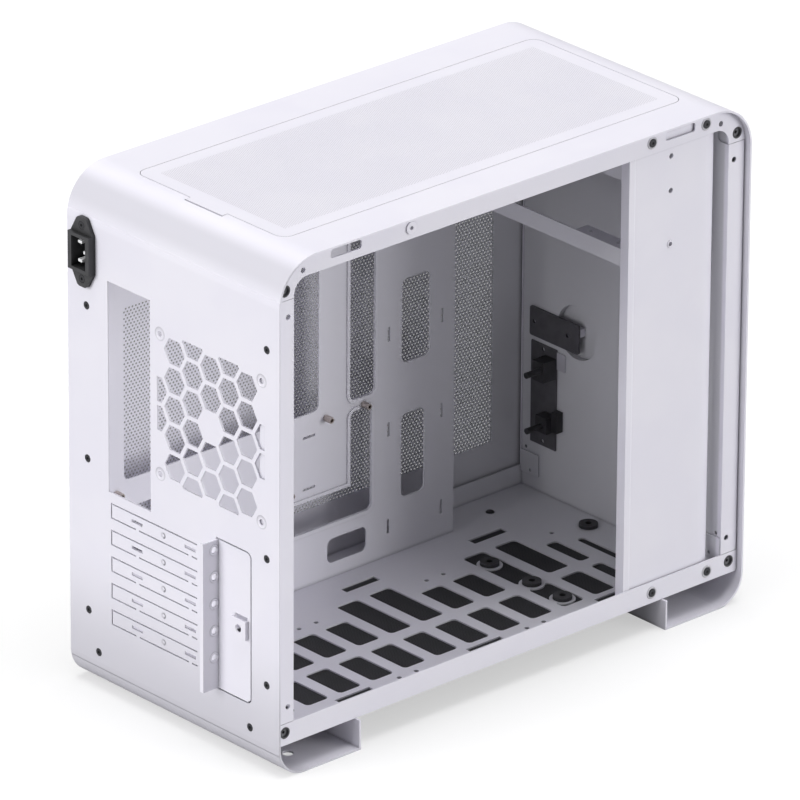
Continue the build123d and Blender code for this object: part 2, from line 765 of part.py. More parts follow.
# Front chamber cover: hemmed at the rear edge and turned inwards at the front
cover_x = -(frame_x - frame_t)
cover_rear_y = front_y + cover_rear_gap
cover_bend_y = front_y + cover_bend_inset
with BuildPart() as chamber_cover:
    with BuildSketch(Plane.XY.offset(floor_top_z)):
        with BuildLine():
            cover_path = Polyline(
                (cover_x + cover_return, cover_rear_y),
                (cover_x, cover_rear_y),
                (cover_x, cover_rear_y - cover_hem),
                (cover_x + cover_joggle, cover_rear_y - cover_hem - 2 * cover_joggle),
                (cover_x + cover_joggle, cover_bend_y),
            )
            JernArc(cover_path @ 1, (0, -1), cover_bend_r, cover_bend_angle)
            offset(amount=panel_t, side=Side.LEFT)
        make_face()
    extrude(amount=tray_high_z - floor_top_z)
    extrude(shell_inside.sketch, amount=2 * frame_x, mode=Mode.INTERSECT)
    with BuildSketch(Plane.YZ.offset(cover_x - 1)):
        with Locations([(front_y + cover_hole_inset, height - drop) for drop in cover_hole_drops]):
            RegularPolygon(cover_hole_r, floor_hole_sides)
        with Locations([(front_y + cover_hole_inset, cover_rivet_z)] + side_screw_points()):
            RegularPolygon(screw_hole_r, floor_hole_sides)
    extrude(amount=screw_shank_length + 1, mode=Mode.SUBTRACT)
chamber_cover.part.label = "chamber_cover"

# Inner front wall with a dished seat for the power button
wall_y = front_y + wall_gap
dish_floor_y = wall_y - dish_depth
with BuildPart() as front_wall:
    box_between(-(frame_x - frame_t), frame_x - frame_t, wall_y - frame_t, wall_y, floor_top_z, wall_top_z)
    with BuildSketch(Plane.XZ.offset(-wall_y)):
        with Locations((button_x, button_z)):
            Circle(dish_r)
    extrude(amount=dish_depth + frame_t)
    with BuildSketch(Plane.XZ.offset(-wall_y)):
        with Locations((button_x, button_z)):
            Circle(dish_r - frame_t)
    extrude(amount=dish_depth, mode=Mode.SUBTRACT)
    with BuildSketch(Plane.XZ.offset(-wall_y)):
        with Locations((button_x, button_z)):
            Circle(button_stem_r + fit_gap)
        for z in port_z:
            with Locations((port_board_x, z)):
                Rectangle(port_size[1] + 2 * fit_gap, port_size[0] + 2 * fit_gap)
    extrude(amount=dish_depth + frame_t, mode=Mode.SUBTRACT)
    # The upper corners are set back by one thickness
    with BuildSketch(Plane.XZ.offset(-wall_y)):
        for side in (-1, 1):
            edge_x = side * (frame_x - frame_t)
            rectangle_between(edge_x - side * wall_notch_width, edge_x + side * wall_notch_width,
                              wall_notch_z, 2 * wall_top_z, wall_notch_r)
            with Locations((side * (frame_x - frame_t - wall_corner_hole[0]), wall_corner_hole[1])):
                RegularPolygon(corner_hole_r, small_hole_sides)
    extrude(amount=frame_t, mode=Mode.SUBTRACT)
    for side in (-1, 1):
        edge_x = side * (frame_x - frame_t)
        inner_x = edge_x - side * (wall_notch_width + wall_notch_lap)
        box_between(min(edge_x, inner_x), max(edge_x, inner_x), wall_y - 2 * frame_t, wall_y - frame_t,
                    wall_notch_z - wall_notch_lap, wall_top_z)
front_wall.part.label = "front_wall"

# Power supply beam with folded tabs, and the bar that hangs from the deck
with BuildPart() as supply_beam:
    beam_y = tray_front_y
    box_between(cover_x + panel_t, tray_x + tray_flange - 2, beam_y - frame_t, beam_y, beam_z, beam_z + beam_height)
    for x0, x1 in beam_tab_x:
        box_between(x0, x1, beam_y - beam_tab_depth, beam_y, beam_z + beam_height - frame_t, beam_z + beam_height)
    with BuildSketch(Plane.XY.offset(beam_z + beam_height)):
        for x0, x1 in beam_tab_x:
            with Locations((x0 + beam_hole_inset, beam_y - beam_tab_depth / 2),
                           (x1 - beam_hole_inset, beam_y - beam_tab_depth / 2)):
                RegularPolygon(screw_hole_r, floor_hole_sides)
    extrude(amount=-frame_t, mode=Mode.SUBTRACT)
supply_beam.part.label = "supply_beam"

with BuildPart() as supply_top_bar:
    bar_y = tray_front_y - top_bar_back
    box_between(cover_x + panel_t + cover_joggle + fit_gap, tray_x - fit_gap, bar_y - frame_t, bar_y,
                top_bar_z, tray_high_z)
supply_top_bar.part.label = "supply_top_bar"

# Top filter: a border with a pull tab and a finely perforated sheet
top_filter_y = mid_y + vent_shift_y
with BuildPart() as top_filter_frame:
    with BuildSketch(Plane.XY.offset(inner_top_z)):
        with Locations((vent_x, top_filter_y)):
            RectangleRounded(vent_width - 2 * filter_gap, vent_length - 2 * filter_gap, vent_corner_r - filter_gap)
        with Locations((pull_tab_x, top_filter_y + vent_length / 2 - filter_gap)):
            Rectangle(pull_tab_width, 2 * pull_tab_reach)
    extrude(amount=shell_t)
    with BuildSketch(Plane.XY.offset(inner_top_z)):
        with Locations((vent_x, top_filter_y)):
            Rectangle(vent_width - 2 * filter_border, vent_length - 2 * filter_border)
    extrude(amount=shell_t, mode=Mode.SUBTRACT)
top_filter_frame.part.label = "top_filter_frame"

with BuildPart() as top_filter_mesh:
    with BuildSketch(Plane.XY.offset(height - filter_sheet_t)):
        with Locations((vent_x, top_filter_y)):
            Rectangle(vent_width - 2 * filter_border, vent_length - 2 * filter_border)
    extrude(amount=filter_sheet_t)
top_filter_mesh.part.label = "top_filter_mesh"

# Dust filter under the floor
with BuildPart() as under_filter_frame:
    with BuildSketch(Plane.XY.offset(floor_z - under_filter_t)):
        rectangle_between(filter_left_x, filter_right_x, mid_y - filter_length / 2, mid_y + filter_length / 2,
                          under_filter_corner_r)
        rectangle_between(filter_left_x + under_filter_border, filter_right_x - under_filter_border,
                          mid_y - filter_length / 2 + under_filter_border,
                          mid_y + filter_length / 2 - under_filter_border, mode=Mode.SUBTRACT)
    extrude(amount=under_filter_t)
under_filter_frame.part.label = "under_filter_frame"

with BuildPart() as under_filter_mesh:
    with BuildSketch(Plane.XY.offset(floor_z - under_filter_t)):
        rectangle_between(filter_left_x + under_filter_border, filter_right_x - under_filter_border,
                          mid_y - filter_length / 2 + under_filter_border,
                          mid_y + filter_length / 2 - under_filter_border)
    extrude(amount=under_filter_t)
under_filter_mesh.part.label = "under_filter_mesh"

# Slot bracket: plate, screw flange with a turned lip, and a raised tab for the thumbscrew
bracket_low_z = bracket_top_z - bracket_height
bracket_right_x = bracket_x - bracket_width
with BuildPart() as slot_bracket:
    with BuildSketch(rear_plane()) as plate_face:
        rectangle_between(bracket_right_x, bracket_x, bracket_low_z, bracket_top_z)
        fillet(plate_face.vertices().group_by(Axis.X)[0], bracket_corner_r)
    extrude(amount=shell_t)
    box_between(bracket_x - frame_t, bracket_x, inner_rear_y, rear_y + bracket_reach, bracket_low_z, bracket_top_z)
    box_between(bracket_x - frame_t, bracket_x - frame_t + bracket_lip, rear_y + bracket_reach - frame_t,
                rear_y + bracket_reach, bracket_low_z, bracket_top_z)
    # Tongues behind the rear wall carry the plate
    tongue_x = bracket_right_x + tongue_inset
    for z in (bracket_low_z, bracket_top_z):
        box_between(tongue_x, tongue_x + tongue_width, inner_rear_y - frame_t, inner_rear_y,
                    z - plate_gap - tongue_reach, z + plate_gap + tongue_reach)
    tab_x = bracket_right_x + tab_inset - tab_width / 2
    tab_z = bracket_top_z - tab_drop - tab_height
    box_between(tab_x - tab_width / 2, tab_x + tab_width / 2, rear_y, rear_y + tab_proud, tab_z, tab_z + tab_height)
    box_between(tab_x - tab_width / 2 + frame_t, tab_x + tab_width / 2 - frame_t, inner_rear_y - 1,
                rear_y + tab_proud - frame_t, tab_z - 1, tab_z + tab_height + 2, mode=Mode.SUBTRACT)
    with BuildSketch(Plane.XZ.offset(-(rear_y + tab_proud))):
        with Locations((tab_x, tab_z + tab_height / 2)):
            Circle(tab_hole_r)
    extrude(amount=frame_t, mode=Mode.SUBTRACT)
    with BuildSketch(Plane.YZ.offset(bracket_x)):
        for slot in range(slot_count):
            with Locations((rear_y + bracket_hole_out, slot_top_z - slot * slot_pitch + bracket_hole_rise)):
                Circle(bracket_hole_r)
    extrude(amount=-frame_t, mode=Mode.SUBTRACT)
slot_bracket.part.label = "slot_bracket"

# Power inlet: eared flange, raised rim and a deep cavity for the plug
cavity_front_y = rear_y + inlet_flange_t + inlet_rim_proud
with BuildPart() as inlet_body:
    with BuildSketch(rear_plane()) as ears:
        with Locations((inlet_x, inlet_z)):
            with BuildLine():
                half_w = inlet_width / 2
                half_waist = inlet_waist / 2
                half_tip = inlet_tip_width / 2
                half_h = inlet_height / 2
                Polyline(
                    (inlet_x - half_w, inlet_z - half_waist),
                    (inlet_x - half_tip, inlet_z - half_h),
                    (inlet_x + half_tip, inlet_z - half_h),
                    (inlet_x + half_w, inlet_z - half_waist),
                    (inlet_x + half_w, inlet_z + half_waist),
                    (inlet_x + half_tip, inlet_z + half_h),
                    (inlet_x - half_tip, inlet_z + half_h),
                    (inlet_x - half_w, inlet_z + half_waist),
                    close=True,
                )
            make_face()
        fillet(ears.vertices().group_by(Axis.Y)[0] + ears.vertices().group_by(Axis.Y)[-1], inlet_tip_r)
    extrude(amount=-inlet_flange_t)
    box_between(inlet_x - inlet_width / 2, inlet_x + inlet_width / 2, rear_y + inlet_flange_t, cavity_front_y,
                inlet_z - inlet_rim_height / 2, inlet_z + inlet_rim_height / 2)
    box_between(inlet_x - inlet_body_width / 2, inlet_x + inlet_body_width / 2, rear_y - inlet_body_depth, rear_y,
                inlet_z - inlet_body_height / 2, inlet_z + inlet_body_height / 2)
    box_between(inlet_x - cavity_width / 2, inlet_x + cavity_width / 2, cavity_front_y - cavity_depth,
                cavity_front_y, inlet_z - cavity_height / 2, inlet_z + cavity_height / 2, mode=Mode.SUBTRACT)
    ear_screws = [(inlet_x, inlet_z - inlet_ear_pitch / 2), (inlet_x, inlet_z + inlet_ear_pitch / 2)]
    with BuildSketch(Plane.XZ.offset(-(rear_y + inlet_flange_t))):
        with Locations(ear_screws):
            Circle(screw_hole_r)
    extrude(amount=inlet_flange_t, mode=Mode.SUBTRACT)
    with BuildSketch(Plane.XZ.offset(-(rear_y + inlet_flange_t))):
        with Locations(ear_screws):
            Circle(screw_head_r + fit_gap)
    extrude(amount=screw_head_t, mode=Mode.SUBTRACT)
inlet_body.part.label = "inlet_body"

with BuildPart() as inlet_pins:
    pin_low_y = cavity_front_y - cavity_depth
    for dx, dz in ((pin_thick, -pin_pitch / 2), (pin_thick, pin_pitch / 2), (pin_thick - earth_offset, 0)):
        box_between(inlet_x + dx - pin_wide / 2, inlet_x + dx + pin_wide / 2, pin_low_y, pin_low_y + pin_length,
                    inlet_z + dz - pin_thick / 2, inlet_z + dz + pin_thick / 2)
inlet_pins.part.label = "inlet_pins"


def screw_group(name, plane_at, points, shank_length, head_r=screw_head_r):
    """Flush screws on one plane: heads, shanks and a recess for the driver."""
    with BuildPart() as screws:
        with BuildSketch(plane_at):
            with Locations(points):
                Circle(head_r)
        extrude(amount=screw_head_t)
        with BuildSketch(plane_at.offset(screw_head_t)):
            with Locations(points):
                RegularPolygon(screw_shank_r, small_hole_sides)
        extrude(amount=shank_length)
        with BuildSketch(plane_at):
            with Locations(points):
                RegularPolygon(screw_socket_r, 6)
        extrude(amount=screw_head_t / 2, mode=Mode.SUBTRACT)
    screws.part.label = name
    return screws


rear_screws = screw_group("rear_screws", rear_plane(), rear_screw_points(), screw_shank_length)
inlet_screws = screw_group("inlet_screws", Plane.XZ.offset(-(rear_y + inlet_flange_t)), ear_screws,
                           inlet_flange_t + shell_t)
cover_plane = Plane.YZ.offset(-frame_x - screw_head_t)
cover_screws = screw_group("cover_screws", cover_plane, side_screw_points(), screw_shank_length,
                           cover_screw_head_r)

# Snap sockets at the corners of the open side, which take the side panel's pins
with BuildPart() as panel_sockets:
    socket_plane = Plane.YZ.offset(-frame_x - socket_proud)
    with BuildSketch(socket_plane):
        with Locations(socket_points()):
            Circle(socket_r)
    extrude(amount=socket_length)
    with BuildSketch(socket_plane):
        with Locations(socket_points()):
            Circle(socket_cup_r)
    extrude(amount=socket_cup_depth, mode=Mode.SUBTRACT)
    with BuildSketch(socket_plane):
        with Locations(socket_points()):
            RegularPolygon(socket_pin_r, small_hole_sides)
    extrude(amount=socket_length, mode=Mode.SUBTRACT)
panel_sockets.part.label = "panel_sockets"

# Rubber grommets for a drive on the floor
with BuildPart() as drive_grommets:
    with BuildSketch(Plane.XY.offset(floor_top_z)):
        with Locations([(x, front_y + y) for x, y in drive_holes]):
            Circle(grommet_r)
            Circle(grommet_hole_r, mode=Mode.SUBTRACT)
    extrude(amount=grommet_t)
    with BuildSketch(Plane.XY.offset(floor_top_z)):
        with Locations([(x, front_y + y) for x, y in drive_holes]):
            RegularPolygon(grommet_neck_r, floor_hole_sides)
            Circle(grommet_hole_r, mode=Mode.SUBTRACT)
    extrude(amount=-frame_t)
drive_grommets.part.label = "drive_grommets"

# Black plates on the inner front wall
with BuildPart() as button_plate:
    with BuildSketch(Plane.XZ.offset(-wall_y)):
        rectangle_between(*plate_a, plate_a_corner_r)
        with Locations(plate_a_holes):
            RegularPolygon(screw_hole_r, floor_hole_sides, mode=Mode.SUBTRACT)
    extrude(amount=-plate_a_t)
button_plate.part.label = "button_plate"

with BuildPart() as port_board:
    with BuildSketch(Plane.XZ.offset(-wall_y)):
        rectangle_between(*plate_b)
        with Locations(plate_b_holes):
            RegularPolygon(screw_hole_r, floor_hole_sides, mode=Mode.SUBTRACT)
    extrude(amount=-plate_b_t)
port_board.part.label = "port_board"


def port_module(name, block, plug):
    """A front port's connector block on the board, with the plug of its cable."""
    reach, low_z, high_z = block
    face_y = wall_y + plate_b_t
    with BuildPart() as module:
        box_between(plate_b[0], plate_b[0] + port_block_width, face_y, face_y + reach, low_z, high_z)
        with BuildSketch(Plane.XZ.offset(-(face_y + reach))):
            with Locations(plug):
                Circle(plug_r)
        extrude(amount=-plug_length)
    module.part.label = name
    return module


port_modules = [port_module(f"port_module_{k + 1}", port_blocks[k], plug_places[k]) for k in range(2)]

# What shows of the ports beside their board: a black housing below and a steel cover above
with BuildPart() as port_housing:
    housing_width, housing_reach, housing_low_z, housing_high_z = port_shell
    box_between(plate_b[0] - housing_width, plate_b[0] - fit_gap, wall_y, wall_y + housing_reach,
                housing_low_z, housing_high_z)
port_housing.part.label = "port_housing"

with BuildPart() as port_cover_plate:
    cover_width, cover_t, cover_low_z, cover_high_z = port_cover
    box_between(plate_b[0] - cover_width, plate_b[0] - fit_gap, wall_y, wall_y + cover_t,
                cover_low_z, cover_high_z)
port_cover_plate.part.label = "port_cover"

with BuildPart() as port_sleeves:
    for z in port_z:
        sleeve_w, sleeve_h = port_size[1], port_size[0]
        box_between(port_board_x - sleeve_w / 2, port_board_x + sleeve_w / 2, front_y + 0.2, wall_y,
                    z - sleeve_h / 2, z + sleeve_h / 2)
        box_between(port_board_x - sleeve_w / 2 + 0.6, port_board_x + sleeve_w / 2 - 0.6, front_y,
                    wall_y - 2, z - sleeve_h / 2 + 0.6, z + sleeve_h / 2 - 0.6, mode=Mode.SUBTRACT)
        box_between(port_board_x - 0.9, port_board_x + 0.9, front_y + 1.2, wall_y - 2,
                    z - sleeve_h / 2 + 1.6, z + sleeve_h / 2 - 1.6)
port_sleeves.part.label = "port_sleeves"

# Power switch in the dish, and the button that presses it
with BuildPart() as power_switch:
    box_between(button_x - switch_size / 2, button_x + switch_size / 2, dish_floor_y, wall_y - fit_gap,
                button_z - switch_size / 2, button_z + switch_size / 2)
power_switch.part.label = "power_switch"

with BuildPart() as power_button:
    with BuildSketch(Plane.XZ.offset(-(front_y - button_proud))):
        with Locations((button_x, button_z)):
            Circle(button_r)
    extrude(amount=-button_cap_t)
    chamfer(power_button.edges().sort_by(Axis.Y)[0], 0.4)
    with BuildSketch(Plane.XZ.offset(-(front_y - button_proud + button_cap_t))):
        with Locations((button_x, button_z)):
            Circle(button_stem_r)
    extrude(amount=-(dish_floor_y - fit_gap - button_travel - front_y + button_proud - button_cap_t))
power_button.part.label = "power_button"

pieces = [
    outer_shell, top_frame, floor_pan, rear_left_post, rear_right_post, front_left_post, front_right_post,
    motherboard_tray, standoffs, right_side_panel, side_filter, chamber_cover, front_wall, supply_beam,
    supply_top_bar, top_filter_frame, top_filter_mesh, under_filter_frame, under_filter_mesh, slot_bracket,
    inlet_body, inlet_pins, rear_screws, inlet_screws, cover_screws, panel_sockets, drive_grommets,
    button_plate, port_board, *port_modules, port_housing, port_cover_plate, port_sleeves, power_switch,
    power_button,
]
os.makedirs("parts", exist_ok=True)
for piece in pieces:
    export_step(piece.part, f"parts/{piece.part.label}.step")
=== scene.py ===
import math

import bpy
from mathutils import Matrix, Vector


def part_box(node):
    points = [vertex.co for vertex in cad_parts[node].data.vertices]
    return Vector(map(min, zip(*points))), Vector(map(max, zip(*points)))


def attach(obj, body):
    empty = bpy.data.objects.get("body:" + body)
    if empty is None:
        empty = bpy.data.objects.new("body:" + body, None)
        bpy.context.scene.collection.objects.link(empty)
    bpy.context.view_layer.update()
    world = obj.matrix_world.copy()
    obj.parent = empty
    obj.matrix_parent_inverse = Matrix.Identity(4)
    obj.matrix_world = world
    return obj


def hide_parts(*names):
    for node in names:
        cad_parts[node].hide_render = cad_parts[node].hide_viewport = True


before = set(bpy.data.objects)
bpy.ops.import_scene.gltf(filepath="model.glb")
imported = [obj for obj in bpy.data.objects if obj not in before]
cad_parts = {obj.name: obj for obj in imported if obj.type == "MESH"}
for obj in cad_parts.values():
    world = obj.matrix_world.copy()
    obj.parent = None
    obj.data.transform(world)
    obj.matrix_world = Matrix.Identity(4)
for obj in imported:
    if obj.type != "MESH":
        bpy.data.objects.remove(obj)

# One millimetre in the scene's metres
MM = 0.001

# Places on the case, in millimetres
REAR_WALL_Y = 213.2
FRONT_Y = -226.8
MIDDLE_Y = (REAR_WALL_Y + FRONT_Y) / 2
FAN_X = -39.3
FAN_Z = 242.0
FAN_HOLE_HALF_PITCH = 52.5
SLOT_TOP_Z = 143.8
SLOT_PITCH = 20.32
SLOT_COUNT = 5
SLOT_MARK_X = 10.3
SLOT_LAST_Z = SLOT_TOP_Z - (SLOT_COUNT - 0.5) * SLOT_PITCH
FRAME_X = 105.0
SOCKET_HALF_Y = 210.3
SOCKET_MIDDLE_Z = 196.85
SOCKET_HALF_Z = 164.85
SIDE_SCREWS = ((-195.7, 30.5), (-142.0, 30.5), (-186.9, 376.3), (-135.4, 376.3))

# Light on the case, as shares of full light: the room's, what the floor throws back, each
# lamp's with the side that it comes from, and the lamps' softness in degrees
ROOM_LIGHT = 0.27
FLOOR_BOUNCE = 0.4
LAMPS = (
    ("top_lamp", (0.0, 0.0, 1.0), 0.54),
    ("front_top_lamp", (-0.35, -0.6, 0.75), 0.08),
    ("rear_lamp", (0.2, 0.95, 0.3), 0.69),
    ("open_side_lamp", (-0.85, -0.5, 0.15), 0.62),
)
LAMP_SOFTNESS = 40.0

# What the camera sees of the floor: its own white glow, and the tone that holds the shadow
FLOOR_GLOW = 0.5
FLOOR_TONE = 0.5
FLOOR_HALF = 30000.0

# Camera: the photograph's view, and the pixel at which it shows the target
IMAGE_SIZE = 800
FOCAL_PIXELS = 9989.2
SENSOR_WIDTH = 36.0
AZIMUTH = 227.776
ELEVATION = 24.128
ROLL = 0.344
DISTANCE = 6.97715
TARGET = Vector((0.0, MIDDLE_Y * MM, 0.190))
TARGET_PIXEL = (411.113, 392.659)


class Value:
    """A socket of a finish's node tree; arithmetic on it adds Math nodes."""

    def __init__(self, finish, socket):
        self.finish = finish
        self.socket = socket

    def output(self, name):
        return Value(self.finish, self.socket.node.outputs[name])

    def math(self, operation, *others):
        return self.finish.math(operation, self, *others)

    def __add__(self, other):
        return self.math("ADD", other)

    def __sub__(self, other):
        return self.math("SUBTRACT", other)

    def __mul__(self, other):
        return self.math("MULTIPLY", other)

    def __truediv__(self, other):
        return self.math("DIVIDE", other)

    def __rsub__(self, other):
        return self.finish.math("SUBTRACT", other, self)

    __radd__ = __add__


class Finish:
    """A material or a world, built up node by node."""

    def __init__(self, name, world=False):
        self.holder = bpy.data.worlds.new(name) if world else bpy.data.materials.new(name)
        self.holder.use_nodes = True
        self.tree = self.holder.node_tree
        self.tree.nodes.clear()

    def node(self, kind, settings=None, sockets=None, output=0):
        """Adds a node: first its settings, then the values or links of its sockets."""
        node = self.tree.nodes.new("ShaderNode" + kind)
        for name, value in (settings or {}).items():
            setattr(node, name, value)
        for key, value in (sockets or {}).items():
            if isinstance(value, Value):
                self.tree.links.new(value.socket, node.inputs[key])
            else:
                node.inputs[key].default_value = value
        return Value(self, node.outputs[output]) if node.outputs else None

    def math(self, operation, *values):
        """One step of arithmetic on numbers and values."""
        return self.node("Math", {"operation": operation}, dict(enumerate(values)))

    def rise(self, value, low, high):
        """Goes smoothly from 0 at low to 1 at high."""
        sockets = {"Value": value, "From Min": low, "From Max": high}
        return self.node("MapRange", {"interpolation_type": "SMOOTHSTEP"}, sockets)

    def mix(self, factor, first, second):
        """Blends two colours."""
        return self.node("Mix", {"data_type": "RGBA"}, {0: factor, 6: first, 7: second}, 2)

    def place(self):
        """Where a point lies on the case, in millimetres."""
        coordinates = self.node("TexCoord").output("Object")
        return self.node("VectorMath", {"operation": "SCALE"}, {0: coordinates, "Scale": 1 / MM})

    def axes(self, place):
        """A place's three parts."""
        parts = self.node("SeparateXYZ", sockets={0: place})
        return parts.output("X"), parts.output("Y"), parts.output("Z")

    def noise(self, place, size, detail=2.0):
        """Soft spots, size millimetres across."""
        return self.node("TexNoise", sockets={"Vector": place, "Scale": 1 / size, "Detail": detail})

    def crevice_shade(self, reach):
        """1 where other surfaces stand all round within reach millimetres: the mask of painted
        shade in creases and hollows.
        """
        sockets = {"Distance": reach * MM}
        open_share = self.node("AmbientOcclusion", {"samples": 3}, sockets, "AO")
        return 1 - self.rise(open_share, 0.25, 0.9)

    def surface(self, height=None, depth=0.1, **sockets):
        """Ends the material: the shader's sockets, and a relief depth millimetres deep."""
        values = {key.replace("_", " "): value for key, value in sockets.items()}
        if height is not None:
            relief = {"Strength": 1.0, "Distance": depth * MM, "Height": height}
            values["Normal"] = self.node("Bump", sockets=relief)
        shader = self.node("BsdfPrincipled", sockets=values)
        self.node("OutputMaterial", sockets={"Surface": shader})
        return self.holder


def tone(red, green, blue):
    """An opaque colour."""
    return (red, green, blue, 1.0)


# Powder coat: its colours, and the greys of its painted shade in creases, in the rear marks, on the
# rear bend and foot, and inside the case
WHITE_COAT = tone(0.82, 0.805, 0.88)
WHITE_COAT_THIN = tone(0.80, 0.785, 0.868)
PAINTED_SHADE_GREY = tone(0.12, 0.12, 0.14)
INSIDE_SHADE_GREY = tone(0.66, 0.66, 0.69)
REAR_PAINTED_SHADE = tone(0.55, 0.541, 0.594)

# Powder coat: sizes in millimetres, and the stretches over which a mark or a painted shade rises
COAT_CLOUDS = 60.0
COAT_PEEL = 0.9
COAT_RELIEF = 0.7
COAT_SHADE_REACH = 3.0
DISH_RADII = (3.0, 5.2)
DISH_RIM = (4.7, 0.8)
MARK_RIM = (1.7, 0.9)
REAR_FACE = (REAR_WALL_Y - 0.7, REAR_WALL_Y - 0.4)
COVERS_FROM = (SLOT_LAST_Z - 0.5, SLOT_LAST_Z + 0.5)
COVERS_TO = (SLOT_TOP_Z + 8.0, SLOT_TOP_Z + 8.5)
MARK_SHADE_SIDE = (SLOT_MARK_X - 0.6, SLOT_MARK_X + 0.9)
BEND_FROM = (354.0, 369.0)
BEND_TO = (376.0, 384.0)
BEND_REAR = (170.0, 185.0)
FOOT_TO = (20.0, 110.0)
FOOT_REAR = (180.0, 200.0)
INSIDE_FROM = (-102.0, -99.0)
INSIDE_TO = (107.4, 107.8)
INSIDE_SHADE_Y = (FRONT_Y, 120.0)


def distance(aside, upward):
    """How far a point lies from a centre, from its offsets both ways."""
    return (aside.math("POWER", 2.0) + upward.math("POWER", 2.0)).math("SQRT")


def ring(finish, away, radius, half_width):
    """1 on a circle of the given radius, falling to 0 on both sides."""
    off = (away - radius).math("ABSOLUTE")
    return 1 - finish.rise(off, 0.0, half_width)


def white_powder(finish, place):
    """The coat's white, a little thinner in broad clouds."""
    clouds = finish.rise(finish.noise(place, COAT_CLOUDS), 0.35, 0.65)
    return finish.mix(clouds, WHITE_COAT_THIN, WHITE_COAT)


def shade_painted_inside(finish, x, y, colour):
    """The colour with painted shade on faces within the case, darker towards the closed front."""
    within = finish.rise(x, *INSIDE_FROM) * (1 - finish.rise(x, *INSIDE_TO))
    return finish.mix(within * (1 - finish.rise(y, *INSIDE_SHADE_Y)), colour, INSIDE_SHADE_GREY)


def rear_marks(finish, x, y, z, colour):
    """The rear wall's dished fan holes and pressed marks: their relief, and in the colour a painted
    shade on one side of each mark and in a ring round each hole.
    """
    on_rear = finish.rise(y, *REAR_FACE)
    from_hole = distance(
        (x - FAN_X).math("ABSOLUTE") - FAN_HOLE_HALF_PITCH,
        (z - FAN_Z).math("ABSOLUTE") - FAN_HOLE_HALF_PITCH,
    )
    dish = finish.rise(from_hole, *DISH_RADII)
    half_pitch = SLOT_PITCH / 2
    row = (z - (SLOT_TOP_Z - half_pitch)).math("PINGPONG", half_pitch)
    from_mark = distance(x - SLOT_MARK_X, half_pitch - row)
    on_covers = finish.rise(z, *COVERS_FROM) * (1 - finish.rise(z, *COVERS_TO))
    mark = ring(finish, from_mark, *MARK_RIM) * on_covers * on_rear
    # Painted shade: each mark darker on one side, and a darker ring round each dished hole
    crescent_shade = mark * (1 - finish.rise(x, *MARK_SHADE_SIDE))
    colour = finish.mix(crescent_shade * 0.8, colour, PAINTED_SHADE_GREY)
    rim_shade = ring(finish, from_hole, *DISH_RIM) * on_rear
    colour = finish.mix(rim_shade * 0.3, colour, PAINTED_SHADE_GREY)
    return colour, (dish - mark) * on_rear


def rear_painted_shades(finish, y, z, colour):
    """The colour with a painted dark reflection in a band on the top rear bend, and painted shade
    at the rear wall's foot.
    """
    bend = finish.rise(z, *BEND_FROM) * (1 - finish.rise(z, *BEND_TO)) * finish.rise(y, *BEND_REAR)
    foot = (1 - finish.rise(z, *FOOT_TO)) * finish.rise(y, *FOOT_REAR)
    return finish.mix(foot * 0.8, finish.mix(bend * 0.8, colour, REAR_PAINTED_SHADE), REAR_PAINTED_SHADE)


def coat(name, shell=False, inside=False):
    """Satin powder coat with painted shade in its creases; on the shell, its pressed marks with
    painted shade round them and painted shade on the rear bend and foot; or painted shade inside
    the case.
    """
    finish = Finish(name)
    place = finish.place()
    x, y, z = finish.axes(place)
    peel = finish.noise(place, COAT_PEEL, 3.0)
    colour = white_powder(finish, place)
    height = peel * 0.03
    if inside:
        colour = shade_painted_inside(finish, x, y, colour)
    if shell:
        colour, marks = rear_marks(finish, x, y, z, colour)
        colour = rear_painted_shades(finish, y, z, colour)
        height = height + marks
    # Painted shade: the colour darkens to a near-black grey where other surfaces stand close round
    # it
    return finish.surface(
        Base_Color=finish.mix(finish.crevice_shade(COAT_SHADE_REACH) * 0.55, colour, PAINTED_SHADE_GREY),
        Roughness=peel * 0.1 + 0.36,
        height=height,
        depth=COAT_RELIEF,
    )


def perforated_coat(name, pitch, hole, dark):
    """Coated sheet with fine staggered holes, drawn on the surface."""
    finish = Finish(name)
    place = finish.place()
    x, y, z = finish.axes(place)
    rows = pitch * math.sqrt(3)
    nearest = None
    for shift in (0.0, 0.5):
        u = (x / pitch + shift).math("FRACT") - 0.5
        v = (y / rows + shift).math("FRACT") - 0.5
        away = distance(u * pitch, v * rows)
        nearest = away if nearest is None else nearest.math("MINIMUM", away)
    solid = finish.rise(nearest, hole * 0.8, hole * 1.2)
    return finish.surface(
        Base_Color=finish.mix(solid, dark, white_powder(finish, place)),
        Roughness=0.6 - solid * 0.2,
        height=solid,
        depth=0.2,
    )


def woven_mesh(name, pitch, thread, gap, across, along, lit=False):
    """Fine woven filter cloth: threads along two axes; where lit is true, more see-through to the
    front, a painted light that lets more white backdrop show there.
    """
    finish = Finish(name)
    place = finish.place()
    parts = dict(zip("xyz", finish.axes(place)))
    bulges = []
    for axis in (across, along):
        wave = (parts[axis] / pitch).math("FRACT") - 0.5
        bulges.append(1 - finish.rise(wave.math("ABSOLUTE"), 0.12, 0.34))
    weave = bulges[0].math("MAXIMUM", bulges[1])
    sockets = {}
    if lit:
        # Painted light: see-through rises towards the front, standing for outside light on the
        # cloth there
        sockets["Alpha"] = 0.5 + finish.rise(parts["y"], -150.0, 190.0) * 0.15
    return finish.surface(
        Base_Color=finish.mix(weave, gap, thread),
        Roughness=0.85 - weave * 0.25,
        height=weave,
        depth=0.15,
        **sockets,
    )


